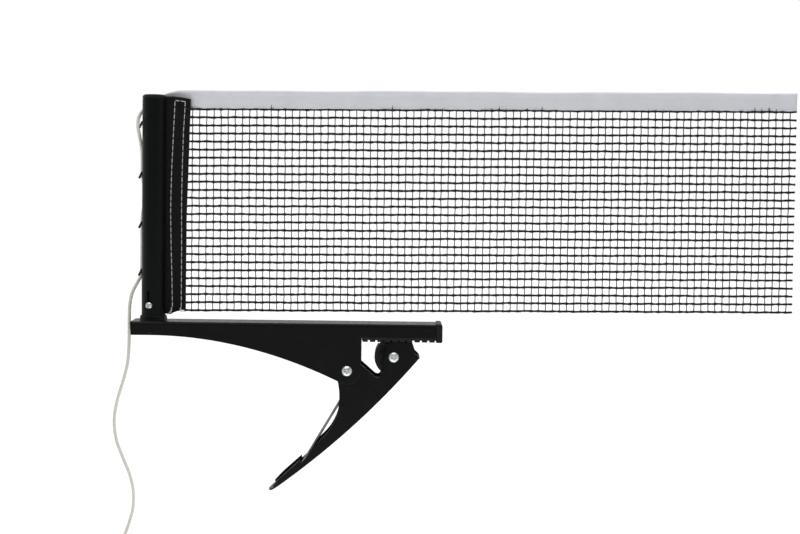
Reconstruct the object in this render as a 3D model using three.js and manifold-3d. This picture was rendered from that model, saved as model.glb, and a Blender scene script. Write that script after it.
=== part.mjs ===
// Clip-on table tennis net clamp with its post, the end of its net and its tension cord.
//
// Units are millimetres. +Z is up along the post, +X runs along the net towards the table's
// middle and +Y points away from the front. Z = 0 is the upper pad's gripping face, which is the
// table's top surface in use, and Y = 0 is the middle plane. Shapes are drawn with X counted from
// the jaw screw's axis. The finished pieces are then moved by DATUM, so that the origin lies on
// the pad's rib just beyond the jaw shoe, the one that meets the table with nothing below it.
import * as THREE from 'three';
import { mergeVertices } from 'three/addons/utils/BufferGeometryUtils.js';
import Module from 'manifold-3d';

const wasm = await Module();
wasm.setup();

// ---------------------------------------------------------------- driving dimensions
const GAP = 0.3;                    // clearance kept between touching pieces
const DATUM = 20.6;                 // X of the seat rib's middle, from the jaw screw's axis

const ARM = {
  halfWidth: 11, sheet: 1.2, bend: 2,
  top: 12,
  left: -176.7, right: 28,
  tailBottom: 3.05,                 // lower edge at the post end
  throatX: -22.1,                   // the stop that meets the table's edge
  barBottom: 2.9,                   // lower edge of the jaw bar
};
const PIVOT = { x: -31.3, z: -19.4, lobe: 9.2, screwRadius: 2.5, headRadius: 3.65 };
const JAW = { x: 0, z: -10.1, shoeRadius: 13, leverLobe: 9.7 };
const LEVER = { halfWidth: 9.3, sheet: 1.2, clearY: 8.1 };
const SPRING = { meanRadius: 6.8, wire: 1.8, halfSpread: 5.6, leverLeg: 70, armLeg: 46 };
const PAD = { rib: 3.6, pitch: 5, ribHeight: 1.2, phase: 0.6 };

const POST = {
  x: -163, radius: 8, wall: 1.2,
  foot: 11.6, top: 161, capTop: 164.1,
  travel: 8.5,                      // how far the post slides down
};
const HEIGHT_SCREW = { z: 22.6, turn: -0.189, headRadius: 2.3, shankRadius: 1.5 };
const RIVET = { z: 5.6, radius: 0.9, headRadius: 1.6 };
const HOOKS = { heights: [143.6, 109.7, 76.2, 44.0], halfWidth: 1.6, reach: 10.5 };

const NET = {
  right: 270, rise: 0.0084,         // the slack net climbs a little towards its far side
  bottom: 18.3, meshTop: 154.9,
  tapeBottom: 155.2, tapeHeight: 12,
  mesh: 1.4, tape: 1.6, binding: 1.6,
};
const CORD_DIAMETER = 2.3;

// ---------------------------------------------------------------- solids and shapes
function solid(geometry) {
  const plain = geometry.clone();
  plain.deleteAttribute('normal');
  plain.deleteAttribute('uv');
  const merged = mergeVertices(plain, 1e-4);
  return new wasm.Manifold(new wasm.Mesh({
    numProp: 3,
    vertProperties: new Float32Array(merged.attributes.position.array),
    triVerts: new Uint32Array(merged.index.array),
  }));
}

function geometryOf(body) {
  const { vertProperties, triVerts } = body.getMesh();
  const geometry = new THREE.BufferGeometry();
  geometry.setAttribute('position', new THREE.BufferAttribute(new Float32Array(vertProperties), 3));
  geometry.setIndex(new THREE.BufferAttribute(new Uint32Array(triVerts), 1));
  geometry.computeVertexNormals();
  return geometry;
}

// A flat plate: the shape is drawn in X and Z, and spans yLow to yHigh.
function plate(shape, yLow, yHigh, curveSegments = 16) {
  const options = { depth: yHigh - yLow, bevelEnabled: false, curveSegments };
  return solid(new THREE.ExtrudeGeometry(shape, options).rotateX(Math.PI / 2).translate(0, yHigh, 0));
}

// A bar along X: the shape is drawn in Y and Z.
function barAlongX(shape, xLow, xHigh, curveSegments = 6) {
  const options = { depth: xHigh - xLow, bevelEnabled: false, curveSegments };
  const geometry = new THREE.ExtrudeGeometry(shape, options);
  return solid(geometry.rotateX(Math.PI / 2).rotateZ(Math.PI / 2).translate(xLow, 0, 0));
}

function block(x0, x1, y0, y1, z0, z1) {
  const geometry = new THREE.BoxGeometry(x1 - x0, y1 - y0, z1 - z0);
  return solid(geometry.translate((x0 + x1) / 2, (y0 + y1) / 2, (z0 + z1) / 2));
}

function cylinderY(x, z, radius, yLow, yHigh, sides = 32) {
  const geometry = new THREE.CylinderGeometry(radius, radius, yHigh - yLow, sides);
  return solid(geometry.translate(x, (yLow + yHigh) / 2, z));
}

function tubeY(x, z, outer, inner, yLow, yHigh, sides = 32) {
  const bore = cylinderY(x, z, inner, yLow - 1, yHigh + 1, sides);
  return cylinderY(x, z, outer, yLow, yHigh, sides).subtract(bore);
}

// A body of revolution about the post's axis: the profile holds [radius, z] pairs.
function turnedOnPost(profile, sides = 40) {
  const points = profile.map(([r, z]) => new THREE.Vector2(r, z));
  return solid(new THREE.LatheGeometry(points, sides).rotateX(Math.PI / 2).translate(POST.x, 0, 0));
}

function polygon(points) {
  return new THREE.Shape(points.map(([x, z]) => new THREE.Vector2(x, z)));
}

function straightRod(from, to, radius, sides = 10) {
  const start = new THREE.Vector3(...from);
  const end = new THREE.Vector3(...to);
  const along = end.clone().sub(start);
  const geometry = new THREE.CylinderGeometry(radius, radius, along.length(), sides);
  const up = new THREE.Vector3(0, 1, 0);
  const turn = new THREE.Quaternion().setFromUnitVectors(up, along.clone().normalize());
  const middle = start.clone().add(end).multiplyScalar(0.5);
  return solid(geometry.applyQuaternion(turn).translate(middle.x, middle.y, middle.z));
}

// ---------------------------------------------------------------- materials and nodes
const MATERIALS = {
  blackPaint: new THREE.MeshStandardMaterial({ color: 0x15171a, roughness: 0.35, metalness: 0.4 }),
  postPaint: new THREE.MeshStandardMaterial({ color: 0x121815, roughness: 0.38, metalness: 0.4 }),
  zinc: new THREE.MeshStandardMaterial({ color: 0xc9ccd0, roughness: 0.3, metalness: 1 }),
  springSteel: new THREE.MeshStandardMaterial({ color: 0x3a3c3e, roughness: 0.35, metalness: 1 }),
  blackPlastic: new THREE.MeshStandardMaterial({ color: 0x17191a, roughness: 0.55, metalness: 0 }),
  rubber: new THREE.MeshStandardMaterial({ color: 0x141516, roughness: 0.85, metalness: 0 }),
  blackFabric: new THREE.MeshStandardMaterial({ color: 0x141416, roughness: 0.95, metalness: 0 }),
  whiteTape: new THREE.MeshStandardMaterial({ color: 0xcdcdd4, roughness: 0.85, metalness: 0 }),
  creamCord: new THREE.MeshStandardMaterial({ color: 0xc8c3b9, roughness: 0.9, metalness: 0 }),
};

const clamp = new THREE.Group();

function addNode(name, body, material) {
  const mesh = new THREE.Mesh(geometryOf(body.translate([-DATUM, 0, 0])), MATERIALS[material]);
  mesh.name = name;
  clamp.add(mesh);
}

// ---------------------------------------------------------------- arm
// The arm's side view: a long tail that deepens in a smooth curve down to the pivot's round
// lobe, and the jaw bar to the right of the throat.
function armSideView() {
  const tangent = { x: -0.434, z: -0.901 };               // where the curve meets the lobe
  const meet = { x: PIVOT.x + PIVOT.lobe * tangent.x, z: PIVOT.z + PIVOT.lobe * tangent.z };
  const control = meet.x + (ARM.tailBottom - meet.z) * (tangent.z / -tangent.x);
  const curveStart = 2 * control - meet.x;
  const startAngle = Math.atan2(tangent.z, tangent.x);
  const shape = new THREE.Shape();
  shape.moveTo(ARM.left, ARM.top);
  shape.lineTo(ARM.left + 0.4, ARM.tailBottom);
  shape.lineTo(curveStart, ARM.tailBottom);
  shape.quadraticCurveTo(control, ARM.tailBottom, meet.x, meet.z);
  shape.absarc(PIVOT.x, PIVOT.z, PIVOT.lobe, startAngle, 0, false);
  shape.lineTo(ARM.throatX, ARM.barBottom);
  shape.lineTo(ARM.right, ARM.barBottom);
  shape.lineTo(ARM.right, ARM.top);
  shape.closePath();
  return shape;
}

// The section of the channel's outside, with the two long bends rounded.
function armSection() {
  const { halfWidth: w, bend: r, top } = ARM;
  const shape = new THREE.Shape();
  shape.moveTo(-w, -60);
  shape.lineTo(w, -60);
  shape.lineTo(w, top - r);
  shape.absarc(w - r, top - r, r, 0, Math.PI / 2, false);
  shape.lineTo(-w + r, top);
  shape.absarc(-w + r, top - r, r, Math.PI / 2, Math.PI, false);
  shape.closePath();
  return shape;
}

function makeArm() {
  const { halfWidth: w, sheet, left, right, top } = ARM;
  const outside = plate(armSideView(), -w, w, 28).intersect(barAlongX(armSection(), left - 1, right + 1));
  const inside = block(left + sheet, right + 5, -w + sheet, w - sheet, -60, top - sheet);
  const rim = turnedOnPost([
    [POST.radius + GAP, top - 0.5], [POST.radius + 1.9, top - 0.5],
    [POST.radius + 1.3, top + 0.6], [POST.radius + 0.8, top + 3.3], [POST.radius + GAP, top + 3.3],
    [POST.radius + GAP, top - 0.5],
  ]);
  const hole = POST.radius + GAP;
  const postHole = turnedOnPost([[0, top - 5], [hole, top - 5], [hole, top + 9], [0, top + 9]]);
  return outside
    .subtract(inside)
    .subtract(postHole)
    .add(rim)
    .subtract(cylinderY(PIVOT.x, PIVOT.z, PIVOT.screwRadius + GAP, -w - 1, w + 1))
    .subtract(cylinderY(POST.x, RIVET.z, RIVET.radius + GAP, -w - 1, w + 1, 20));
}

function makeArmEndCap() {
  const w = ARM.halfWidth + 0.4;
  const x0 = ARM.right + GAP;
  const top = ARM.top + 0.5;
  const side = new THREE.Shape();
  side.moveTo(x0, 0);
  side.lineTo(x0 + 3.4, 0);
  side.quadraticCurveTo(x0 + 4.2, 0.2, x0 + 4.2, 1.4);
  side.lineTo(x0 + 4.2, top - 2);
  side.quadraticCurveTo(x0 + 4.2, top, x0 + 2.6, top);
  side.lineTo(x0, top);
  side.closePath();
  const plug = block(ARM.right - 6, x0 + 1, -9.4, 9.4, 6.4, ARM.top - ARM.sheet - 0.4);
  return plate(side, -w, w, 5).add(plug);
}

function makeUpperPad() {
  const start = ARM.throatX + 0.5;
  const end = ARM.right;
  const half = ARM.halfWidth - ARM.sheet - 0.4;
  let pad = block(start, end, -half, half, PAD.ribHeight, 5.8);
  const first = Math.ceil((start - PAD.phase + PAD.rib / 2) / PAD.pitch);
  const last = Math.floor((end - PAD.phase - PAD.rib / 2) / PAD.pitch);
  for (let rib = first; rib <= last; rib += 1) {
    const middle = PAD.phase + rib * PAD.pitch;
    pad = pad.add(block(middle - PAD.rib / 2, middle + PAD.rib / 2, -half, half, 0, PAD.ribHeight + 0.5));
  }
  return pad;
}

// ---------------------------------------------------------------- screws and their nuts
// A pan-head screw along +Y with a cross recess, its head in front of yHead.
function panScrew(x, z, headRadius, shankRadius, yHead, yEnd) {
  const headHeight = headRadius * 0.7;
  const profile = [
    [0, -headHeight], [headRadius * 0.55, -headHeight * 0.94], [headRadius * 0.85, -headHeight * 0.68],
    [headRadius, -headHeight * 0.3], [headRadius, 0], [0, 0],
  ].map(([r, y]) => new THREE.Vector2(r, y));
  const head = solid(new THREE.LatheGeometry(profile, 32).translate(x, yHead, z));
  const slotWidth = headRadius * 0.14;
  const slotLength = headRadius * 0.55;
  const floor = yHead - headHeight * 0.45;
  const recess = block(x - slotLength, x + slotLength, yHead - 9, floor, z - slotWidth, z + slotWidth)
    .add(block(x - slotWidth, x + slotWidth, yHead - 9, floor, z - slotLength, z + slotLength));
  return head.subtract(recess).add(cylinderY(x, z, shankRadius, yHead - 0.2, yEnd, 24));
}

// A hexagon nut with a round washer face, behind yFace.
function nut(x, z, boreRadius, yFace) {
  const washerFace = cylinderY(x, z, boreRadius * 1.62, yFace, yFace + 0.6, 32);
  const hexagon = cylinderY(x, z, boreRadius * 1.65, yFace + 0.4, yFace + 3.8, 6);
  const collar = cylinderY(x, z, boreRadius * 1.3, yFace + 3.6, yFace + 4.8, 24);
  return washerFace.add(hexagon).add(collar).subtract(cylinderY(x, z, boreRadius, yFace - 1, yFace + 9, 24));
}

// ---------------------------------------------------------------- lever
const SPINE = {
  top: { x: 17.5, z: -10.4 },
  control: { x: -26.4, z: -62.5 },
  tip: { x: -83.4, z: -103.2 },
};

// The lever's side view: the jaw lobe, the notch of the throat, the pivot's shoulder, the hollow
// inner edge and the tip, closed along the spine.
function leverSideView() {
  const shape = new THREE.Shape();
  shape.moveTo(SPINE.top.x, SPINE.top.z);
  shape.lineTo(14.4, -7.3);
  shape.lineTo(12.0, -0.5);
  shape.absarc(JAW.x, JAW.z, JAW.leverLobe, Math.PI / 2, 3.9, false);
  shape.lineTo(-8.6, -21.4);
  shape.quadraticCurveTo(-9.8, -25.2, -12.9, -23.1);
  shape.lineTo(-22.2, -15.0);
  shape.absarc(PIVOT.x, PIVOT.z, 8.4, 0.3, 3.3, false);
  shape.quadraticCurveTo(-37.2, -26.5, -36.5, -33.0);
  shape.bezierCurveTo(-35.6, -46.0, -38.2, -56.5, -47.7, -65.6);
  shape.lineTo(-54.9, -73.1);
  shape.lineTo(-58.4, -79.2);
  shape.lineTo(-61.9, -82.6);
  shape.lineTo(-62.4, -80.8);
  shape.splineThru([
    new THREE.Vector2(-71.6, -89.1), new THREE.Vector2(-76.0, -93.3), new THREE.Vector2(-79.8, -97.4),
    new THREE.Vector2(SPINE.tip.x - 0.6, SPINE.tip.z + 1.2),
  ]);
  shape.lineTo(SPINE.tip.x, SPINE.tip.z);
  shape.quadraticCurveTo(SPINE.control.x, SPINE.control.z, SPINE.top.x, SPINE.top.z);
  return shape;
}

// Everything between the flanges, up to the spine's inner face.
function leverHollow() {
  const inX = -0.86;
  const inZ = 0.84;
  const shape = new THREE.Shape();
  shape.moveTo(SPINE.top.x + inX + 6, SPINE.top.z + inZ + 7.2);
  shape.lineTo(-60, 30);
  shape.lineTo(-130, -60);
  shape.lineTo(SPINE.tip.x + inX - 8, SPINE.tip.z + inZ - 6);
  shape.lineTo(SPINE.tip.x + inX, SPINE.tip.z + inZ);
  shape.quadraticCurveTo(SPINE.control.x + inX, SPINE.control.z + inZ, SPINE.top.x + inX, SPINE.top.z + inZ);
  shape.closePath();
  return plate(shape, -LEVER.clearY, LEVER.clearY, 28);
}

// Rounds the tip of the lever across its width.
function leverTipRounding() {
  const along = new THREE.Vector2(SPINE.control.x - SPINE.tip.x, SPINE.control.z - SPINE.tip.z).normalize();
  const angle = Math.atan2(along.y, along.x);
  const end = LEVER.halfWidth;
  const centre = { x: SPINE.tip.x + along.x * end, z: SPINE.tip.z + along.y * end };
  const round = new THREE.CylinderGeometry(end, end, 30, 32).rotateX(Math.PI / 2);
  const rest = new THREE.BoxGeometry(240, 24, 60).translate(120, 0, 0);
  const place = (geometry) => solid(geometry.rotateY(-angle).translate(centre.x, 0, centre.z));
  return place(round).add(place(rest)).add(block(-70, 60, -20, 20, -80, 20));
}

function makeLever() {
  const w = LEVER.halfWidth;
  return plate(leverSideView(), -w, w, 28)
    .subtract(leverHollow())
    .intersect(leverTipRounding())
    .subtract(cylinderY(PIVOT.x, PIVOT.z, PIVOT.screwRadius + GAP, -w - 1, w + 1))
    .subtract(cylinderY(JAW.x, JAW.z, PIVOT.screwRadius + GAP, -w - 1, w + 1));
}

// ---------------------------------------------------------------- jaw shoe
const SHOE = { half: 7.7, top: -2.7, bore: 3.9 };

// A round-backed shoe with a flat top; its right side is cut back to clear the lever's spine.
function makeJawShoe() {
  const { x, z, shoeRadius: r } = JAW;
  const topAngle = Math.PI - Math.asin((SHOE.top - z) / r);
  const shape = new THREE.Shape();
  shape.moveTo(12.4, SHOE.top);
  shape.absarc(x, z, r, topAngle, 4.2, false);
  shape.absarc(x, z, 11.2, 4.45, 6.06, false);
  shape.lineTo(14.2, -7.4);
  shape.closePath();
  return plate(shape, -SHOE.half, SHOE.half, 20)
    .subtract(cylinderY(x, z, SHOE.bore, -20, 20));
}

function makeJawPad() {
  const bottom = SHOE.top + GAP;
  const top = -GAP;
  const half = SHOE.half;
  let pad = block(-9.4, 12.4, -half, half, bottom, bottom + 1);
  for (let rib = -2; rib <= 2; rib += 1) {
    const middle = PAD.phase + 0.8 + rib * 4.4;
    pad = pad.add(block(middle - 1.5, middle + 1.5, -half, half, bottom + 0.5, top));
  }
  return pad;
}

// ---------------------------------------------------------------- torsion spring
// One closed ring stands for the coil, with the two straight legs that leave it.
function makeTorsionSpring() {
  const { meanRadius: r, wire, halfSpread, leverLeg, armLeg } = SPRING;
  const half = halfSpread + wire / 2;
  const coil = tubeY(PIVOT.x, PIVOT.z, r + wire / 2, r - wire / 2, -half, half, 28);
  const leg = (angle, length, y) => {
    const foot = [PIVOT.x + r * Math.cos(angle), y, PIVOT.z + r * Math.sin(angle)];
    const side = y < 0 ? 1 : -1;
    const along = [side * Math.sin(angle), -side * Math.cos(angle)];
    const end = [foot[0] + length * along[0], y, foot[2] + length * along[1]];
    return straightRod(foot, end, wire / 2, 8);
  };
  return coil.add(leg(-0.531, leverLeg, -halfSpread)).add(leg(Math.PI / 3, armLeg, halfSpread));
}

// ---------------------------------------------------------------- post
function hookTab(height) {
  const { reach, halfWidth } = HOOKS;
  const tab = polygon([
    [-7.3, height + 1.3], [-8.1, height + 0.9], [-reach + 0.8, height - 2.2], [-reach, height - 1.5],
    [-8.5, height + 2.6], [-7.3, height + 2.9],
  ]);
  return plate(tab, -halfWidth, halfWidth).translate([POST.x, 0, 0]);
}

function makePostTube() {
  const inner = POST.radius - POST.wall;
  let tube = turnedOnPost([
    [inner, POST.foot], [POST.radius, POST.foot], [POST.radius, POST.top], [inner, POST.top],
    [inner, POST.foot],
  ]);
  const netSlit = block(POST.x + 4, POST.x + 10, -1.3, 1.3, POST.foot + 3.5, POST.top + 1);
  tube = tube.subtract(netSlit);

  const footNotch = block(POST.x - 1.9, POST.x + 1.9, -10, 10, POST.foot - 1, POST.foot + 3.6);
  tube = tube.subtract(footNotch);

  const slotHalf = 1.65;
  const slotTop = HEIGHT_SCREW.z + POST.travel;
  const slot = block(-slotHalf, slotHalf, -10, -5, HEIGHT_SCREW.z, slotTop)
    .add(cylinderY(0, HEIGHT_SCREW.z, slotHalf, -10, -5, 20))
    .add(cylinderY(0, slotTop, slotHalf, -10, -5, 20));
  const degrees = THREE.MathUtils.radToDeg(HEIGHT_SCREW.turn);
  tube = tube.subtract(slot.rotate([0, 0, degrees]).translate([POST.x, 0, 0]));

  for (const height of HOOKS.heights) {
    const half = HOOKS.halfWidth;
    const window = block(POST.x - 10, POST.x - 5, -half, half, height - 3.4, height + 1.1);
    tube = tube.subtract(window).add(hookTab(height));
  }
  return tube;
}

function makePostCap() {
  const inner = POST.radius - POST.wall - 0.4;
  const z = POST.top + GAP;
  return turnedOnPost([
    [0, z - 3.2], [inner, z - 3.2], [inner, z], [POST.radius - 0.05, z],
    [POST.radius - 0.05, POST.capTop - 1.4], [POST.radius - 0.5, POST.capTop - 0.5],
    [POST.radius - 1.7, POST.capTop], [0, POST.capTop],
  ]);
}

// A bar with one flat side, so that the net's hem can run past it inside the tube.
function makePostSpigot() {
  const radius = POST.radius - POST.wall - 0.4;
  const low = ARM.tailBottom + 0.2;
  const bar = turnedOnPost([[0, low], [radius, low], [radius, 50], [radius - 0.8, 50.8], [0, 50.8]]);
  const flat = block(POST.x + 1.2, POST.x + 10, -10, 10, low + 5, 60);
  const screwHole = cylinderY(0, HEIGHT_SCREW.z, HEIGHT_SCREW.shankRadius + GAP, -10, 0, 20)
    .rotate([0, 0, THREE.MathUtils.radToDeg(HEIGHT_SCREW.turn)])
    .translate([POST.x, 0, 0]);
  return bar
    .subtract(flat)
    .subtract(screwHole)
    .subtract(cylinderY(POST.x, RIVET.z, RIVET.radius + GAP, -20, 20, 20));
}

function makeSpigotRivet() {
  const y = ARM.halfWidth + GAP;
  const shank = cylinderY(POST.x, RIVET.z, RIVET.radius, -y - 0.5, y + 0.5, 20);
  const head = (side) => {
    const profile = [[0, 1], [0.6, 0.8], [0.9, 0.4], [1, 0], [0, 0]]
      .map(([r, h]) => new THREE.Vector2(r * RIVET.headRadius, h));
    const dome = new THREE.LatheGeometry(profile.reverse(), 20);
    if (side < 0) dome.rotateX(Math.PI);
    return solid(dome.translate(POST.x, side * y, RIVET.z));
  };
  return shank.add(head(-1)).add(head(1));
}

function makeHeightScrew() {
  const screw = panScrew(0, HEIGHT_SCREW.z, HEIGHT_SCREW.headRadius, HEIGHT_SCREW.shankRadius,
    -POST.radius - GAP, -0.6);
  return screw.rotate([0, 0, THREE.MathUtils.radToDeg(HEIGHT_SCREW.turn)]).translate([POST.x, 0, 0]);
}

// ---------------------------------------------------------------- net
const rise = (x) => NET.rise * (x + 142);
const BINDING = {
  inner: -158, outer: POST.x + POST.radius + 0.4,
  right: [[-141.2, 19.3], [-140.9, 80], [-138.6, 161.5]],   // the free edge, from the bottom up
};

function makeNetRod() {
  return turnedOnPost([[0, 21], [1.5, 21], [1.5, 155], [0, 155]], 16).translate([3.2, 0, 0]);
}

function makeNetBinding() {
  const shape = polygon([
    [BINDING.inner, 21], [BINDING.outer, 21], [BINDING.outer, 16.4],
    [-153.2, 16.4], [-151.6, 16.0], [-148.5, 17.8],
    ...BINDING.right, [-145, 162.6], [BINDING.outer, 163],
    [BINDING.outer, 155.5], [BINDING.inner, 155.5],
  ]);
  return plate(shape, -NET.binding / 2, NET.binding / 2);
}

function makeNetMesh() {
  const [lower, middle] = BINDING.right;
  const shape = polygon([
    [lower[0] + GAP + 0.1, NET.bottom + 1], [NET.right, NET.bottom + rise(NET.right)],
    [NET.right, NET.meshTop + rise(NET.right)], [-138.8 + GAP + 0.2, NET.meshTop + rise(-138)],
    [middle[0] + GAP + 0.1, middle[1]],
  ]);
  return plate(shape, -NET.mesh / 2, NET.mesh / 2);
}

// The tape folds over the net's upper edge; its left end bends back behind the binding and runs on
// behind the post. The lists hold the plan of its front and its back, as [x, y].
function makeNetTape() {
  const half = NET.tape / 2;
  const front = [[-129, -half], [-133, -0.3], [-137, 1.2], [-142, 2.8], [-156, 7.6], [-160, 9.4]];
  const back = [[-160.7, 10.9], [-156.6, 9.1], [-142.4, 4.5], [-137.5, 3.0], [-133.6, 1.4], [-129, half]];
  const plan = polygon([[NET.right, -half], ...front, ...back, [NET.right, half]]);
  const column = new THREE.ExtrudeGeometry(plan, { depth: 40, bevelEnabled: false });
  const bottom = NET.tapeBottom;
  const top = bottom + NET.tapeHeight;
  const elevation = polygon([
    [-161, bottom - 0.2], [NET.right + 1, bottom + rise(NET.right)],
    [NET.right + 1, top + rise(NET.right)], [-148, top], [-155, top - 1.6], [-161, top - 4],
  ]);
  return solid(column.translate(0, 0, 140)).intersect(plate(elevation, -12, 12));
}

// ---------------------------------------------------------------- tension cord
// The cord leaves the tape behind the post, is laced down the four hooks and ends in a free tail
// that rests against the arm's end. Each point is [distance from the post's axis along X, Y, Z].
const CORD_ROUTE = [
  [1.5, 10.4, 160.0], [-3.0, 9.6, 158.6], [-7.0, 7.2, 156.0], [-9.2, 3.6, 152.6], [-10.4, -0.6, 149.0],
  [-10.4, -3.7, 145.4], [-10.3, -3.7, 141.4], [-9.9, -1.6, 137.0], [-9.4, 1.2, 131.5], [-8.9, 3.2, 125.5],
  [-8.8, 3.5, 118.0], [-8.7, 3.7, 110.0], [-8.1, 5.0, 103.6], [-7.5, 6.0, 97.0], [-7.8, 5.6, 90.5],
  [-8.6, 4.2, 84.0], [-8.8, 3.6, 77.0], [-8.8, 3.5, 70.0], [-8.8, 3.5, 62.0], [-8.8, 3.5, 54.0],
  [-8.9, 3.5, 47.0], [-9.4, 3.1, 41.5], [-12.1, 2.2, 36.0], [-14.6, 1.2, 30.5], [-16.1, 0.4, 23.0],
  [-16.4, 0.0, 14.0], [-16.4, -0.2, 4.0], [-16.5, -0.4, -6.0], [-17.4, -0.9, -18.0],
  [-20.6, -1.2, -31.0], [-24.4, -0.9, -44.0], [-26.3, -0.2, -57.0], [-25.0, 0.6, -70.0],
  [-20.8, 1.2, -82.0], [-16.0, 1.2, -94.0], [-13.2, 0.8, -106.0], [-13.6, 0.3, -118.0],
  [-16.6, -0.1, -129.0], [-20.2, -0.3, -139.0], [-22.0, -0.3, -145.0],
];

function makeTensionCord() {
  const points = CORD_ROUTE.map(([u, y, z]) => new THREE.Vector3(POST.x + u, y, z));
  const route = new THREE.CatmullRomCurve3(points, false, 'centripetal');
  const section = new THREE.Shape();
  section.absarc(0, 0, CORD_DIAMETER / 2, 0, 2 * Math.PI, false);
  const options = { extrudePath: route, steps: 72, bevelEnabled: false, curveSegments: 4 };
  return solid(new THREE.ExtrudeGeometry(section, options));
}

// ---------------------------------------------------------------- assembly
addNode('arm', makeArm(), 'blackPaint');
addNode('arm_end_cap', makeArmEndCap(), 'blackPlastic');
addNode('upper_pad', makeUpperPad(), 'rubber');

const armFace = ARM.halfWidth + GAP;
const leverFace = LEVER.halfWidth + GAP;
const { headRadius, screwRadius } = PIVOT;
addNode('pivot_screw', panScrew(PIVOT.x, PIVOT.z, headRadius, screwRadius, -armFace, armFace + 4.4), 'zinc');
addNode('pivot_nut', nut(PIVOT.x, PIVOT.z, PIVOT.screwRadius + GAP, armFace), 'zinc');
addNode('pivot_sleeve', tubeY(PIVOT.x, PIVOT.z, 5.3, PIVOT.screwRadius + GAP, -7.7, 7.7), 'blackPlastic');
addNode('torsion_spring', makeTorsionSpring(), 'springSteel');

addNode('lever', makeLever(), 'blackPaint');
addNode('jaw_screw', panScrew(JAW.x, JAW.z, headRadius, screwRadius, -leverFace, leverFace + 4.4), 'zinc');
addNode('jaw_nut', nut(JAW.x, JAW.z, PIVOT.screwRadius + GAP, leverFace), 'zinc');
addNode('jaw_sleeve', tubeY(JAW.x, JAW.z, 3.6, PIVOT.screwRadius + GAP, -7.7, 7.7), 'zinc');
addNode('jaw_shoe', makeJawShoe(), 'blackPlastic');
addNode('jaw_pad', makeJawPad(), 'rubber');

addNode('post_spigot', makePostSpigot(), 'blackPaint');
addNode('spigot_rivet', makeSpigotRivet(), 'blackPaint');
addNode('height_screw', makeHeightScrew(), 'zinc');
addNode('post_tube', makePostTube(), 'postPaint');
addNode('post_cap', makePostCap(), 'blackPlastic');

addNode('net_rod', makeNetRod(), 'blackPlastic');
addNode('net_binding', makeNetBinding(), 'blackFabric');
addNode('net_mesh', makeNetMesh(), 'blackFabric');
addNode('net_tape', makeNetTape(), 'whiteTape');
addNode('tension_cord', makeTensionCord(), 'creamCord');

export default clamp;
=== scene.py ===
"""Visual model of a clip-on table tennis net clamp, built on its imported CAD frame.

Lengths in the tables below are millimetres: +Z up along the post, +X along the net, +Y away from
the front. Z and Y are those of the CAD frame, and X is counted from the jaw screw's axis, which
lies DATUM millimetres short of the CAD origin.
"""
import math

import bmesh
import bpy
import numpy as np
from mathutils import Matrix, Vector


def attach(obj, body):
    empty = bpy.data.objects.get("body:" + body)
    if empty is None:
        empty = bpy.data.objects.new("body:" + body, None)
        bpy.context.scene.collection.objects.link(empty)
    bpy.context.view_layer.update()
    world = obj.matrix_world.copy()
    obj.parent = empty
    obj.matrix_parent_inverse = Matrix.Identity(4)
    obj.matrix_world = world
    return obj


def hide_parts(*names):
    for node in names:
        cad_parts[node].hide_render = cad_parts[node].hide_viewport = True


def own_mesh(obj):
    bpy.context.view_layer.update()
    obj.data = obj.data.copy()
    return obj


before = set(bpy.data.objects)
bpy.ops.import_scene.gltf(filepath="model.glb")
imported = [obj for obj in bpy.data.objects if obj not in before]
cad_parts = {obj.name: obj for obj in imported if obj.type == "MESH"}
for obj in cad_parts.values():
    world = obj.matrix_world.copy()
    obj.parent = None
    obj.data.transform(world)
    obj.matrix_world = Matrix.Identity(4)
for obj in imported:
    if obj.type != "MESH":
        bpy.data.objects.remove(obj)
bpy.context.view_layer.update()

MM = 0.001
DATUM = 20.6

# ------------------------------------------------------------------ driving dimensions
POST_X = -163.0
PIVOT = (-31.3, -19.4)
NET_RIGHT = 270.0
NET_RISE = 0.0084                 # the slack net climbs a little towards its far side
NET_BOTTOM = 18.3
ROW_PITCH = 5.43
ROW_COUNT = 26
COLUMN_PITCH = 4.8
TAPE_BOTTOM = 155.2
TAPE_HEIGHT = 12.0
CORD_DIAMETER = 2.3
SPRING_RADIUS = 6.8
SPRING_WIRE = 1.8
SPRING_HALF_SPREAD = 5.6
FLOOR_Z = -156.0
FLOOR_HALF_SIDE = 9.0             # metres
FOLD_RADIUS = 1.7                 # of the lever's two long bends
FLANGE_OUTER_Y = 9.0              # the lever's outer edges lie beyond this
WAVE_SCALE = 314.159              # wave texture scale that repeats once in a millimetre

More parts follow.
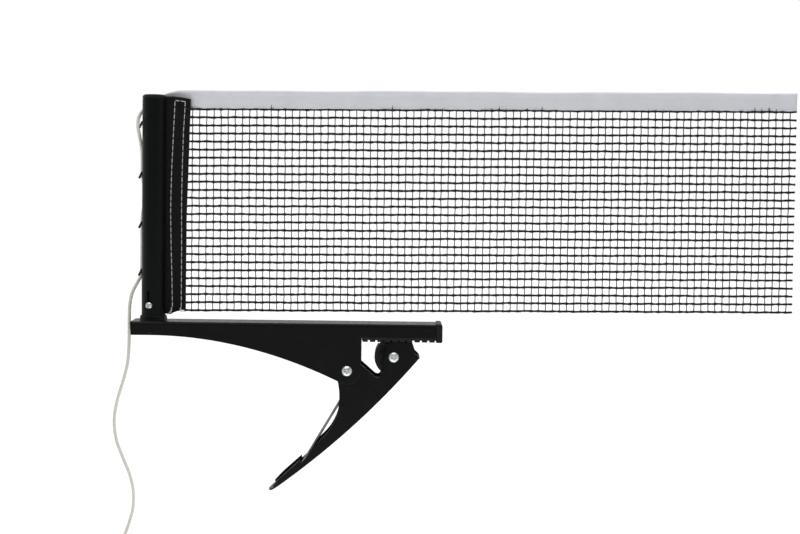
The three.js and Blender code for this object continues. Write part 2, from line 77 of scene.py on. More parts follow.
# The tension cord's route: distance from the post's axis along X, then Y and Z.
CORD_ROUTE = [
    (1.5, 10.4, 160.0), (-3.0, 9.6, 158.6), (-7.0, 7.2, 156.0), (-9.2, 3.6, 152.6),
    (-10.4, -0.6, 149.0), (-10.4, -3.7, 145.4), (-10.3, -3.7, 141.4), (-9.9, -1.6, 137.0),
    (-9.4, 1.2, 131.5), (-8.9, 3.2, 125.5), (-8.8, 3.5, 118.0), (-8.7, 3.7, 110.0),
    (-8.1, 5.0, 103.6), (-7.5, 6.0, 97.0), (-7.8, 5.6, 90.5), (-8.6, 4.2, 84.0),
    (-8.8, 3.6, 77.0), (-8.8, 3.5, 70.0), (-8.8, 3.5, 62.0), (-8.8, 3.5, 54.0),
    (-8.9, 3.5, 47.0), (-9.4, 3.1, 41.5), (-12.1, 2.2, 36.0), (-14.6, 1.2, 30.5),
    (-16.1, 0.4, 23.0), (-16.4, 0.0, 14.0), (-16.4, -0.2, 4.0), (-16.5, -0.4, -6.0),
    (-17.4, -0.9, -18.0), (-20.6, -1.2, -31.0), (-24.4, -0.9, -44.0), (-26.3, -0.2, -57.0),
    (-25.0, 0.6, -70.0), (-20.8, 1.2, -82.0), (-16.0, 1.2, -94.0), (-13.2, 0.8, -106.0),
    (-13.6, 0.3, -118.0), (-16.6, -0.1, -129.0), (-20.2, -0.3, -139.0), (-22.0, -0.3, -145.0),
]


def in_frame(points):
    """Points of the tables, in metres in the CAD frame."""
    return (np.array(points, float) - (DATUM, 0.0, 0.0)) * MM


# ------------------------------------------------------------------ camera, floor and light
def add_camera():
    """The photograph's view: square on to the front, a little above the arm."""
    data = bpy.data.cameras.new("camera")
    data.lens = 56.6
    data.sensor_width = 36.0
    data.shift_y = -0.05
    camera = bpy.data.objects.new("camera", data)
    camera.location = in_frame([(-4.1, -850.0, 112.3)])[0]
    camera.rotation_euler = (math.radians(87.63), math.radians(-0.75), math.radians(-0.456))
    bpy.context.scene.collection.objects.link(camera)
    bpy.context.scene.camera = camera


def add_area_light(name, place, target, size, watts):
    data = bpy.data.lights.new(name, "AREA")
    data.shape = "RECTANGLE"
    data.size, data.size_y = size
    data.energy = watts
    light = bpy.data.objects.new(name, data)
    light.location = place
    light.rotation_euler = (Vector(target) - Vector(place)).to_track_quat("-Z", "Y").to_euler()
    light.visible_camera = False
    bpy.context.scene.collection.objects.link(light)


def add_overhead_sun():
    """A soft light from straight above, which keeps the floor as pale as the surround."""
    data = bpy.data.lights.new("overhead", "SUN")
    data.energy = 0.9
    data.angle = math.radians(70)
    bpy.context.scene.collection.objects.link(bpy.data.objects.new("overhead", data))


def add_world():
    """A white surround that dims towards the dark room in front of the object."""
    world = bpy.data.worlds.new("studio")
    world.use_nodes = True
    nodes, links = world.node_tree.nodes, world.node_tree.links
    direction = nodes.new("ShaderNodeTexCoord")
    parts = nodes.new("ShaderNodeSeparateXYZ")
    level = nodes.new("ShaderNodeMapRange")
    level.interpolation_type = "SMOOTHSTEP"
    level.inputs["From Min"].default_value = -0.95
    level.inputs["From Max"].default_value = -0.05
    level.inputs["To Min"].default_value = 0.16
    level.inputs["To Max"].default_value = 1.0
    background = nodes["Background"]
    background.inputs["Color"].default_value = (1.0, 1.0, 1.0, 1.0)
    links.new(direction.outputs["Generated"], parts.inputs["Vector"])
    links.new(parts.outputs["Y"], level.inputs["Value"])
    links.new(level.outputs["Result"], background.inputs["Strength"])
    bpy.context.scene.world = world


def add_studio():
    """A pale room with a pale floor, three soft boxes and a soft light from above."""
    bpy.context.scene.view_settings.view_transform = "Standard"
    add_world()
    add_area_light("key", (-0.55, -0.85, 0.95), (-0.07, 0, 0.02), (0.5, 0.5), 1.6)
    add_area_light("top_strip", (0.0, -0.12, 0.95), (0.0, 0, 0.0), (0.9, 0.16), 1.6)
    add_area_light("lever_glint", (-0.055, -0.045, -0.150), (-0.055, -0.045, 0.5), (0.20, 0.06), 0.12)
    add_overhead_sun()

    side = FLOOR_HALF_SIDE
    z = FLOOR_Z * MM
    corners = [(-side, -side, z), (side, -side, z), (side, side, z), (-side, side, z)]
    floor = mesh_object("floor", corners, [(0, 1, 2, 3)], floor_material(), smooth=False)


# ------------------------------------------------------------------ meshes
def mesh_object(name, verts, faces, material, smooth=True):
    mesh = bpy.data.meshes.new(name)
    mesh.from_pydata([tuple(v) for v in verts], [], [tuple(f) for f in faces])
    mesh.materials.append(material)
    mesh.polygons.foreach_set("use_smooth", [smooth] * len(mesh.polygons))
    obj = bpy.data.objects.new(name, mesh)
    bpy.context.scene.collection.objects.link(obj)
    return obj


class MeshParts:
    """Collects vertices (in millimetres) and faces of several bodies for one mesh."""

    def __init__(self):
        self.verts = []
        self.faces = []
        self.count = 0

    def add_rings(self, rings, capped=True):
        """rings is an array of (ring, side, xyz)."""
        count, sides, _ = rings.shape
        start = self.count
        self.verts.append(rings.reshape(-1, 3))
        self.count += count * sides
        for ring in range(count - 1):
            low = start + ring * sides
            for side in range(sides):
                after = (side + 1) % sides
                self.faces.append((low + side, low + after, low + sides + after, low + sides + side))
        if capped:
            last = start + (count - 1) * sides
            self.faces.append(tuple(start + side for side in reversed(range(sides))))
            self.faces.append(tuple(last + side for side in range(sides)))

    def build(self, name, material, smooth=True):
        verts = in_frame(np.vstack(self.verts))
        obj = mesh_object(name, verts.tolist(), self.faces, material, smooth)
        return facing_out(obj)


def facing_out(obj):
    """Turns every face of the object outwards."""
    bm = bmesh.new()
    bm.from_mesh(obj.data)
    bmesh.ops.recalc_face_normals(bm, faces=bm.faces)
    bm.to_mesh(obj.data)
    bm.free()
    return obj


def resampled(points, step):
    """The polyline's points again, evenly spaced about a step apart."""
    along = np.concatenate([[0], np.cumsum(np.linalg.norm(np.diff(points, axis=0), axis=1))])
    count = max(2, int(round(along[-1] / step)) + 1)
    at = np.linspace(0, along[-1], count)
    return np.stack([np.interp(at, along, points[:, axis]) for axis in range(3)], axis=1)


def smooth_path(points, step):
    """A centripetal Catmull-Rom curve through the points, evenly spaced."""
    points = np.array(points, float)
    ends = np.vstack([2 * points[0] - points[1], points, 2 * points[-1] - points[-2]])
    dense = []
    for i in range(len(points) - 1):
        p0, p1, p2, p3 = ends[i:i + 4]
        t1 = np.linalg.norm(p1 - p0) ** 0.5
        t2 = t1 + np.linalg.norm(p2 - p1) ** 0.5
        t3 = t2 + np.linalg.norm(p3 - p2) ** 0.5
        t = np.linspace(t1, t2, 24, endpoint=False)[:, None]
        a1 = (t1 - t) / t1 * p0 + t / t1 * p1
        a2 = (t2 - t) / (t2 - t1) * p1 + (t - t1) / (t2 - t1) * p2
        a3 = (t3 - t) / (t3 - t2) * p2 + (t - t2) / (t3 - t2) * p3
        b1 = (t2 - t) / t2 * a1 + t / t2 * a2
        b2 = (t3 - t) / (t3 - t1) * a2 + (t - t1) / (t3 - t1) * a3
        dense.append((t2 - t) / (t2 - t1) * b1 + (t - t1) / (t2 - t1) * b2)
    dense.append(points[-1:])
    return resampled(np.vstack(dense), step)


def tube_rings(path, sides, radius):
    """Rings about a path without twist; radius is a number or an array of (ring, side)."""
    tangents = np.gradient(path, axis=0)
    tangents /= np.linalg.norm(tangents, axis=1)[:, None]
    side = np.cross(tangents[0], (0.0, 1.0, 0.0))
    if np.linalg.norm(side) < 0.2:
        side = np.cross(tangents[0], (1.0, 0.0, 0.0))
    angles = np.linspace(0, 2 * math.pi, sides, endpoint=False)
    radius = np.broadcast_to(np.asarray(radius, float), (len(path), sides))
    rings = np.empty((len(path), sides, 3))
    for i, (point, tangent) in enumerate(zip(path, tangents)):
        side = side - tangent * side.dot(tangent)
        side /= np.linalg.norm(side)
        other = np.cross(tangent, side)
        spokes = np.cos(angles)[:, None] * side + np.sin(angles)[:, None] * other
        rings[i] = point + radius[i][:, None] * spokes
    return rings


def rounded_tube(path, sides, radius, tip=0.6):
    """A tube whose two ends are rounded over the length tip."""
    along = np.concatenate([[0], np.cumsum(np.linalg.norm(np.diff(path, axis=0), axis=1))])
    nearest = np.minimum(along, along[-1] - along)
    shrink = np.sqrt(np.clip(1 - (1 - np.clip(nearest / tip, 0, 1)) ** 2, 0.02, 1))
    return tube_rings(path, sides, (radius * shrink)[:, None])


def wobble(at, seed, wavelengths=(110.0, 47.0, 21.0)):
    """Smooth repeatable waviness between about -1 and 1."""
    random = np.random.default_rng(seed)
    total = 0
    for wavelength in wavelengths:
        phase = random.uniform(0, 2 * math.pi)
        total = total + random.uniform(0.5, 1) * np.sin(2 * math.pi * at / wavelength + phase)
    return total / len(wavelengths) * 1.4


# ------------------------------------------------------------------ shader helpers
class Shader:
    """A principled material with short calls for procedural detail in object space."""

    def __init__(self, name, color, roughness, metallic=0.0, specular=0.5):
        self.material = bpy.data.materials.new(name)
        self.material.use_nodes = True
        self.nodes = self.material.node_tree.nodes
        self.links = self.material.node_tree.links
        self.bsdf = self.nodes["Principled BSDF"]
        self.bsdf.inputs["Base Color"].default_value = (*color, 1.0)
        self.bsdf.inputs["Roughness"].default_value = roughness
        self.bsdf.inputs["Metallic"].default_value = metallic
        self.bsdf.inputs["Specular IOR Level"].default_value = specular
        self.material.diffuse_color = (*color, 1.0)

    def coordinates(self, stretch=(1, 1, 1), turn=(0, 0, 0)):
        source = self.nodes.new("ShaderNodeTexCoord")
        mapping = self.nodes.new("ShaderNodeMapping")
        mapping.inputs["Scale"].default_value = stretch
        mapping.inputs["Rotation"].default_value = turn
        self.links.new(source.outputs["Object"], mapping.inputs["Vector"])
        return mapping.outputs["Vector"]

    def noise(self, size, detail=3.0, stretch=(1, 1, 1)):
        """Noise whose grains are about size millimetres across."""
        node = self.nodes.new("ShaderNodeTexNoise")
        node.inputs["Scale"].default_value = 1000.0 / size
        node.inputs["Detail"].default_value = detail
        self.links.new(self.coordinates(stretch), node.inputs["Vector"])
        return node.outputs["Fac"]

    def bands(self, pitch, direction, turn=(0, 0, 0), distortion=0.0):
        """Sine bands that repeat every pitch millimetres."""
        node = self.nodes.new("ShaderNodeTexWave")
        node.bands_direction = direction
        node.inputs["Scale"].default_value = WAVE_SCALE / pitch
        node.inputs["Distortion"].default_value = distortion
        node.inputs["Detail"].default_value = 1.0
        self.links.new(self.coordinates(turn=turn), node.inputs["Vector"])
        return node.outputs["Fac"]

    def checks(self, size):
        node = self.nodes.new("ShaderNodeTexChecker")
        node.inputs["Scale"].default_value = 1000.0 / size
        self.links.new(self.coordinates(stretch=(1, 0, 1)), node.inputs["Vector"])
        return node.outputs["Fac"]

    def ranged(self, value, low, high, start=0.0, end=1.0):
        node = self.nodes.new("ShaderNodeMapRange")
        node.inputs["From Min"].default_value = start
        node.inputs["From Max"].default_value = end
        node.inputs["To Min"].default_value = low
        node.inputs["To Max"].default_value = high
        self.links.new(value, node.inputs["Value"])
        return node.outputs["Result"]

    def combined(self, operation, first, second):
        node = self.nodes.new("ShaderNodeMath")
        node.operation = operation
        for socket, value in zip(node.inputs, (first, second)):
            if isinstance(value, (int, float)):
                socket.default_value = value
            else:
                self.links.new(value, socket)
        return node.outputs["Value"]

    def blended(self, factor, low, high):
        """Mixes two numbers or outputs by a factor."""
        node = self.nodes.new("ShaderNodeMix")
        self.links.new(factor, node.inputs["Factor"])
        for socket, value in ((node.inputs["A"], low), (node.inputs["B"], high)):
            if isinstance(value, (int, float)):
                socket.default_value = value
            else:
                self.links.new(value, socket)
        return node.outputs["Result"]

    def colors(self, factor, stops):
        """Feeds the base colour from (position, colour) stops."""
        ramp = self.nodes.new("ShaderNodeValToRGB")
        elements = ramp.color_ramp.elements
        while len(elements) < len(stops):
            elements.new(0.5)
        for element, (position, color) in zip(elements, stops):
            element.position = position
            element.color = (*color, 1.0)
        self.links.new(factor, ramp.inputs["Fac"])
        self.links.new(ramp.outputs["Color"], self.bsdf.inputs["Base Color"])

    def roughness(self, value):
        self.links.new(value, self.bsdf.inputs["Roughness"])

    def bump(self, *layers):
        """Each layer is (height, depth in millimetres, strength)."""
        normal = None
        for height, depth, strength in layers:
            node = self.nodes.new("ShaderNodeBump")
            node.inputs["Distance"].default_value = depth * MM
            node.inputs["Strength"].default_value = strength
            self.links.new(height, node.inputs["Height"])
            if normal is not None:
                self.links.new(normal, node.inputs["Normal"])
            normal = node.outputs["Normal"]
        self.links.new(normal, self.bsdf.inputs["Normal"])

    def sheen(self, weight, roughness=0.5):
        self.bsdf.inputs["Sheen Weight"].default_value = weight
        self.bsdf.inputs["Sheen Roughness"].default_value = roughness


# ------------------------------------------------------------------ materials
def floor_material():
    shader = Shader("floor_paper", (0.96, 0.96, 0.96), 0.9, specular=0.1)
    shader.colors(shader.noise(400.0), [(0.3, (0.955, 0.955, 0.955)), (0.7, (0.965, 0.965, 0.965))])
    return shader.material


def enamel(name, dark, light, dust):
    """Stove enamel on steel: orange peel, faint mottling and a little dust."""
    shader = Shader(name, dark, 0.42, specular=0.09)
    mottle = shader.noise(9.0, 4.0)
    shader.colors(mottle, [(0.30, dark), (0.62, light), (0.80, dust)])
    shader.roughness(shader.ranged(shader.noise(3.0, 4.0), 0.28, 0.44, 0.3, 0.7))
    shader.bump((shader.noise(1.3, 2.0), 0.05, 0.35), (shader.noise(0.25, 2.0), 0.012, 0.3))
    return shader.material


def worn_enamel(name, paint, bare):
    """The same enamel on an edge, where handling has thinned it."""
    shader = Shader(name, paint, 0.3, specular=0.4)
    wear = shader.noise(1.1, 5.0)
    shader.colors(wear, [(0.52, paint), (0.62, tuple(2.2 * c for c in paint)), (0.74, bare)])
    shader.roughness(shader.ranged(wear, 0.26, 0.5, 0.4, 0.7))
    shader.bump((shader.noise(0.5, 3.0), 0.03, 0.4))
    return shader.material


def zinc_plate():
    shader = Shader("bright_zinc", (0.74, 0.75, 0.77), 0.28, metallic=1.0)
    shader.colors(shader.noise(1.6, 5.0), [
        (0.30, (0.40, 0.41, 0.42)), (0.55, (0.58, 0.59, 0.60)), (0.75, (0.72, 0.72, 0.71)),
    ])
    shader.roughness(shader.ranged(shader.noise(0.6, 4.0), 0.22, 0.42, 0.3, 0.7))
    shader.bump((shader.noise(0.35, 3.0), 0.02, 0.35))
    return shader.material


def spring_steel():
    shader = Shader("spring_steel", (0.22, 0.22, 0.23), 0.34, metallic=1.0)
    shader.colors(shader.noise(2.5, 5.0), [(0.35, (0.13, 0.13, 0.135)), (0.7, (0.30, 0.30, 0.31))])
    shader.roughness(shader.ranged(shader.noise(1.0, 4.0), 0.26, 0.48, 0.3, 0.7))
    shader.bump((shader.noise(0.3, 3.0, stretch=(0.3, 1, 0.3)), 0.02, 0.4))
    return shader.material


def moulded_plastic():
    shader = Shader("black_plastic", (0.006, 0.0063, 0.0066), 0.5, specular=0.14)
    shader.colors(shader.noise(4.0, 3.0), [(0.3, (0.0045, 0.0048, 0.0050)), (0.75, (0.0085, 0.0090, 0.0095))])
    shader.roughness(shader.ranged(shader.noise(2.0, 3.0), 0.42, 0.6, 0.3, 0.7))
    shader.bump((shader.noise(0.22, 2.0), 0.03, 0.5))
    return shader.material


def rubber():
    shader = Shader("black_rubber", (0.012, 0.012, 0.013), 0.78, specular=0.22)
    shader.colors(shader.noise(1.8, 5.0), [
        (0.35, (0.009, 0.009, 0.010)), (0.62, (0.017, 0.017, 0.018)), (0.8, (0.035, 0.034, 0.032)),
    ])
    shader.roughness(shader.ranged(shader.noise(0.9, 4.0), 0.65, 0.9, 0.3, 0.7))
    shader.bump((shader.noise(0.4, 4.0), 0.05, 0.5))
    return shader.material


def plain_weave(shader, pitch, fibres=0.12):
    """The height of a plain weave: warp and weft threads that take turns on top."""
    warp = shader.bands(pitch, "X")
    weft = shader.bands(pitch, "Z")
    height = shader.blended(shader.checks(pitch), warp, weft)
    return shader.combined("ADD", height, shader.ranged(shader.noise(0.15, 3.0), -fibres, fibres))


def binding_weave():
    shader = Shader("black_binding", (0.006, 0.006, 0.006), 0.95, specular=0.06)
    height = plain_weave(shader, 0.75)
    # Painted shade: the weave's height colours its hollows darker and the thread tops lighter; the noise adds
    # random tone.
    binding_weave_shade_and_tone = shader.combined("ADD", shader.ranged(height, 0.0, 0.6), shader.ranged(shader.noise(3.0), 0, 0.4))
    shader.colors(binding_weave_shade_and_tone, [
        (0.15, (0.0015, 0.0015, 0.0015)), (0.55, (0.0045, 0.0045, 0.0046)), (0.95, (0.014, 0.014, 0.0138)),
    ])
    shader.bump((height, 0.22, 0.9))
    shader.sheen(0.12)
    return shader.material


def net_thread():
    shader = Shader("black_net", (0.010, 0.010, 0.010), 0.7, specular=0.22)
    shader.colors(shader.noise(0.6, 4.0), [(0.35, (0.002, 0.002, 0.002)), (0.75, (0.009, 0.0085, 0.0085))])
    twist = shader.bands(0.7, "X", turn=(0, math.radians(35), 0), distortion=2.0)
    shader.bump((twist, 0.15, 0.8), (shader.noise(0.2, 4.0), 0.08, 0.6))
    shader.sheen(0.08)
    return shader.material


def tape_weave():
    shader = Shader("white_tape", (0.74, 0.745, 0.80), 0.85, specular=0.2)
    height = plain_weave(shader, 0.5)
    # Painted shade: the weave's height colours its hollows darker and the thread tops lighter; the noise adds
    # random tone.
    tape_weave_shade_and_tone = shader.combined("ADD", shader.ranged(height, 0.0, 0.5), shader.ranged(shader.noise(14.0), 0, 0.5))
    shader.colors(tape_weave_shade_and_tone, [
        (0.15, (0.58, 0.595, 0.635)), (0.55, (0.69, 0.705, 0.745)), (0.95, (0.76, 0.775, 0.815)),
    ])
    shader.bump((height, 0.12, 0.7))
    shader.sheen(0.15)
    return shader.material


def cotton(name, dark, light):
    shader = Shader(name, light, 0.88, specular=0.15)
    shader.colors(shader.noise(0.5, 4.0), [(0.30, dark), (0.70, light)])
    shader.bump((shader.noise(0.12, 4.0), 0.05, 0.7))
    shader.sheen(0.2)
    return shader.material


MATERIALS = {
    "paint": enamel("black_paint", (0.0026, 0.0028, 0.0029), (0.0036, 0.0039, 0.0041),
                    (0.0060, 0.0063, 0.0063)),
    "paint_edge": worn_enamel("black_paint_edge", (0.0080, 0.0085, 0.0088), (0.075, 0.075, 0.076)),
    "post": enamel("post_paint", (0.0018, 0.0027, 0.0023), (0.0026, 0.0038, 0.0032),
                   (0.0044, 0.0058, 0.0050)),
    "post_edge": worn_enamel("post_paint_edge", (0.0075, 0.0092, 0.0082), (0.070, 0.073, 0.070)),
    "zinc": zinc_plate(),
    "spring": spring_steel(),
    "plastic": moulded_plastic(),
    "rubber": rubber(),
    "binding": binding_weave(),
    "net": net_thread(),
    "tape": tape_weave(),
    "cord": cotton("cream_cord", (0.52, 0.50, 0.45), (0.70, 0.68, 0.63)),
    "stitch": cotton("white_stitching", (0.38, 0.38, 0.37), (0.62, 0.62, 0.60)),
    "tape_stitch": cotton("tape_stitching", (0.62, 0.62, 0.64), (0.76, 0.76, 0.78)),
}


def place(obj, body, finish, *replaced):
    """Makes a piece ride on its body and hides the CAD nodes that it replaces."""
    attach(obj, body)
    if replaced:
        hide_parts(*replaced)
    return obj


# ------------------------------------------------------------------ rigid pieces
def clean_copy(node, shape=None):
    """A copy of a CAD node's surface, its split vertices joined, its flats whole, then shaped."""
    bm = bmesh.new()
    bm.from_mesh(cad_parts[node].data)
    bmesh.ops.remove_doubles(bm, verts=bm.verts, dist=2e-6)
    bmesh.ops.dissolve_limit(bm, angle_limit=math.radians(0.4), verts=bm.verts, edges=bm.edges)
    bm.normal_update()
    if shape:
        shape(bm)
        bm.verts.index_update()
    verts = [tuple(v.co) for v in bm.verts]
    faces = [tuple(v.index for v in face.verts) for face in bm.faces]
    bm.free()
    return verts, faces


def round_folds(bm):
    """Rounds the two folds between the lever's spine and its flanges."""
    folds = []
    for edge in bm.edges:
        normals = [face.normal for face in edge.link_faces]
        flange = any(abs(n.y) > 0.99 for n in normals)
        spine = any(n.x > 0.3 and n.z < -0.3 and abs(n.y) < 0.1 for n in normals)
        if flange and spine and abs(edge.verts[0].co.y) > FLANGE_OUTER_Y * MM:
            folds.append(edge)
    bmesh.ops.bevel(bm, geom=folds, offset=FOLD_RADIUS * MM, offset_type="OFFSET", segments=6, profile=0.5,
                    affect="EDGES", clamp_overlap=True)


def refine(node, body, finish, edge=0.25, edge_finish=None, sharp=32.0, shape=None):
    """Stands a copy of a CAD node with eased edges and clean shading in its place."""
    verts, faces = clean_copy(node, shape)
    obj = mesh_object(f"{node}_finished", verts, faces, MATERIALS[finish])
    if edge_finish:
        obj.data.materials.append(MATERIALS[edge_finish])
    bevel = obj.modifiers.new("eased_edges", "BEVEL")
    bevel.width = edge * MM
    bevel.segments = 3
    bevel.limit_method = "ANGLE"
    bevel.angle_limit = math.radians(sharp)
    bevel.use_clamp_overlap = True
    bevel.material = 1 if edge_finish else -1
    normals = obj.modifiers.new("clean_flats", "WEIGHTED_NORMAL")
    normals.keep_sharp = True
    applied(obj)
    return place(obj, body, finish, node)


def applied(obj):
    """Applies the object's modifiers to its mesh."""
    depsgraph = bpy.context.evaluated_depsgraph_get()
    mesh = bpy.data.meshes.new_from_object(obj.evaluated_get(depsgraph))
    obj.modifiers.clear()
    obj.data = mesh


def make_rigid_pieces():
    refine("arm", "bracket", "paint", 0.3, "paint_edge")
    refine("arm_end_cap", "bracket", "plastic", 0.6)
    refine("upper_pad", "bracket", "rubber", 0.3)
    refine("pivot_screw", "bracket", "zinc", 0.12)
    refine("pivot_nut", "bracket", "zinc", 0.2)
    refine("pivot_sleeve", "bracket", "plastic", 0.2)
    refine("post_spigot", "bracket", "paint", 0.2)
    refine("spigot_rivet", "bracket", "paint", 0.15, "paint_edge")
    refine("height_screw", "bracket", "zinc", 0.1)
    refine("lever", "lever", "paint", 0.3, "paint_edge", shape=round_folds)
    refine("jaw_screw", "lever", "zinc", 0.12)
    refine("jaw_nut", "lever", "zinc", 0.2)
    refine("jaw_sleeve", "lever", "zinc", 0.2)
    refine("jaw_shoe", "jaw_shoe", "plastic", 0.4)
    refine("jaw_pad", "jaw_shoe", "rubber", 0.3)
    refine("post_tube", "post", "post", 0.2, "post_edge")
    refine("post_cap", "post", "plastic", 0.3)
    refine("net_rod", "post", "plastic", 0.2)


# ------------------------------------------------------------------ torsion spring
def spring_point(angle, y):
    return (PIVOT[0] + SPRING_RADIUS * math.cos(angle), y, PIVOT[1] + SPRING_RADIUS * math.sin(angle))


def make_torsion_spring():
    """Five and a quarter turns on the sleeve; each leg rides on the piece that it pushes."""
    start = math.radians(-30.4)
    end = math.radians(60.0 + 5 * 360.0)
    low, high = -SPRING_HALF_SPREAD, SPRING_HALF_SPREAD
    turns = np.linspace(start, end, 320)
    coil = [spring_point(a, low + (high - low) * (a - start) / (end - start)) for a in turns]
    along_arm = Vector((-math.sin(end), 0, math.cos(end)))
    arm_leg = [tuple(Vector(coil[-1]) + along_arm * reach) for reach in (2, 12, 28, 46)]
    parts = MeshParts()
    parts.add_rings(rounded_tube(resampled(np.array(coil + arm_leg), 0.8), 14, SPRING_WIRE / 2))
    body_part = parts.build("spring_coil", MATERIALS["spring"])
    place(body_part, "bracket", "spring", "torsion_spring")

    pitch = (high - low) / (end - start)
    overlap = np.linspace(start + math.radians(58), start, 40)
    lead = [spring_point(a, low + pitch * (a - start)) for a in overlap]
    along_lever = Vector((math.sin(start), 0, -math.cos(start)))
    lever_leg = [tuple(Vector(lead[-1]) + along_lever * reach) for reach in (2, 20, 45, 70)]
    parts = MeshParts()
    parts.add_rings(rounded_tube(resampled(np.array(lead + lever_leg), 0.8), 14, SPRING_WIRE / 2))
    place(parts.build("spring_lever_leg", MATERIALS["spring"]), "lever", "spring", "torsion_spring")


# ------------------------------------------------------------------ tension cord
def cord_path(step):
    return smooth_path([(POST_X + u, y, z) for u, y, z in CORD_ROUTE], step)


def make_tension_cord():
    """A round braid of four strands each way, with a frayed cut end."""
    path = cord_path(0.35)
    sides = 24
    along = np.arange(len(path))[:, None] * 0.35
    angles = np.linspace(0, 2 * math.pi, sides, endpoint=False)[None, :]
    strands = np.maximum(
        np.cos(4 * angles + 2 * math.pi * along / 3.4), np.cos(4 * angles - 2 * math.pi * along / 3.4),
    )
    radius = CORD_DIAMETER / 2 * (0.92 + 0.09 * strands)
    parts = MeshParts()
    parts.add_rings(tube_rings(path, sides, radius))
    cord = parts.build("tension_cord_braid", MATERIALS["cord"])
    place(cord, "post", "cord", "tension_cord")

    fray = make_frayed_end(path[-1])


def make_frayed_end(end):
    random = np.random.default_rng(11)
    parts = MeshParts()
    for _ in range(26):
        turn = random.uniform(0, 2 * math.pi)
        reach = 0.95 * math.sqrt(random.uniform(0, 1))
        spread = random.uniform(0.2, 1.2)
        length = random.uniform(2.0, 4.6)
        outward = np.array([math.cos(turn), math.sin(turn), 0.0])
        points = [
            end + outward * reach + np.array([0, 0, 1.2]),
            end + outward * reach,
            end + outward * (reach + 0.4 * spread) - np.array([0, 0, 0.5 * length]),
            end + outward * (reach + spread) - np.array([0, 0, length]),
        ]
        parts.add_rings(rounded_tube(smooth_path(points, 0.4), 6, 0.13, tip=0.3))
    fray = parts.build("cord_frayed_end", MATERIALS["cord"])
    return place(fray, "post", "cord")


# ------------------------------------------------------------------ net binding
BINDING_LEFT = -156.6
BINDING_HALF = 0.55
STITCH_HEIGHTS = [19.0, 37.0, 62.0, 87.0, 112.0, 137.0, 159.5]
STITCH_LINES = {                   # X of each row of stitches at those heights
    "left": [-150.2, -150.5, -151.3, -151.75, -151.3, -150.2, -149.2],
    "right": [-144.3, -144.2, -144.2, -144.4, -144.2, -143.5, -142.3],
}


def binding_right(z):
    return np.interp(z, [19.3, 80.0, 161.5], [-141.2, -140.9, -138.6])


def binding_low(x):
    return np.interp(x, [-156.6, -153.2, -151.6, -148.5, -141.0], [16.4, 16.4, 16.0, 17.8, 19.3])


def binding_high(x):
    return np.interp(x, [-156.6, -150.0, -145.0, -138.6], [162.9, 163.1, 162.6, 161.5])


def stitch_x(line, z):
    return np.interp(z, STITCH_HEIGHTS, STITCH_LINES[line])


def binding_ripple(x, z):
    """How far the cloth leans off its middle plane; the tube's slit holds its left side."""
    freedom = np.clip((x + 154.0) / 8.0, 0, 1)
    return freedom * (0.45 * wobble(z, 3) + 0.18 * wobble(z + 3 * x, 4, (13.0, 8.0)))


def binding_half_thickness(x, z, across, upward):
    rim = np.minimum(1 - np.abs(2 * across - 1), 4 * (1 - np.abs(2 * upward - 1)))
    rounding = np.sqrt(np.clip(1 - (1 - np.clip(rim / 0.07, 0, 1)) ** 2, 0.0, 1))
    seams = 0
    for line in STITCH_LINES:
        seams = seams + np.exp(-((x - stitch_x(line, z)) / 0.8) ** 2)
    pillow = 0.22 * np.sin(math.pi * np.clip(across, 0, 1))
    return (BINDING_HALF + pillow - 0.26 * seams) * rounding + 0.02


def make_net_binding():
    """The woven strip that closes the net's end: a loop of cloth sewn flat in two lines."""
    columns, rows = 44, 240
    across = np.linspace(0, 1, columns)
    upward = np.linspace(0, 1, rows)
    rings = np.empty((rows, 2 * columns, 3))
    for i, v in enumerate(upward):
        guess = 17.0 + 145.0 * v
        x = BINDING_LEFT + (binding_right(guess) - BINDING_LEFT) * across
        z = binding_low(x) + (binding_high(x) - binding_low(x)) * v
        half = binding_half_thickness(x, z, across, v)
        lean = binding_ripple(x, z)
        front = np.stack([x, lean - half, z], axis=1)
        back = np.stack([x, lean + half, z], axis=1)
        rings[i] = np.vstack([front, back[::-1]])
    parts = MeshParts()
    parts.add_rings(rings)
    cloth = parts.build("binding_cloth", MATERIALS["binding"])
    place(cloth, "post", "binding", "net_binding")
    make_binding_stitching()
    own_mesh(cloth)


def stitch_rings(start, end, radius, lift):
    """One stitch: a short thread that dives into the cloth at both ends."""
    t = np.linspace(0, 1, 8)[:, None]
    path = start + (end - start) * t
    path[:, 1] += lift * np.sin(math.pi * t[:, 0]) ** 0.6
    shrink = 0.35 + 0.65 * np.sin(math.pi * t) ** 0.5
    return tube_rings(path, 8, radius * shrink)


def add_stitch_row(parts, path, pitch, radius, side, lift=0.3):
    """Stitches along a path, on the side (-1 front, 1 back) of the cloth."""
    points = resampled(np.array(path), pitch)
    for first, second in zip(points[:-1], points[1:]):
        gap = (second - first) * 0.06
        parts.add_rings(stitch_rings(first + gap, second - gap, radius, side * lift))


def binding_surface_point(x, z, side):
    across = (x - BINDING_LEFT) / (binding_right(z) - BINDING_LEFT)
    half = binding_half_thickness(x, z, across, 0.5)
    return np.array([x, binding_ripple(x, z) + side * (half - 0.05), z])


